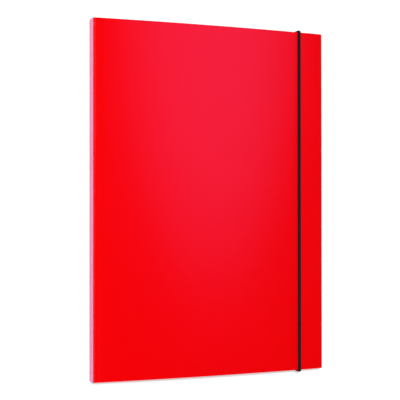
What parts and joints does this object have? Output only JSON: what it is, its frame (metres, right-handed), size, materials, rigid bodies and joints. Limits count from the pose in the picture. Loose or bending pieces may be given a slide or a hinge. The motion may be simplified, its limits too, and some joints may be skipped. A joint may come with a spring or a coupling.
{
  "type": "three flap folder",
  "caption": "Closed card folder with a front cover, a spine and a pocket with flaps at head, tail and fore-edge, held shut by a cord elastic.",
  "frame": {"origin": "centre of the underside, on the surface that the folder lies on", "axes": "+X from the spine to the fore-edge, +Y from tail to head, +Z out of the front cover"},
  "size_m": [0.24, 0.3242, 0.015],
  "materials": {
    "laminated_card": "glossy red laminate outside, white uncoated board inside and on cut edges",
    "elastic": "black braided cover over a rubber core, matt",
    "clip_metal": "nickel-plated steel, satin"
  },
  "bodies": {
    "root": {"folder_card": "laminated_card", "elastic_cord": "elastic", "cord_clip_top": "clip_metal", "cord_clip_bottom": "clip_metal"}
  },
  "joints": []
}
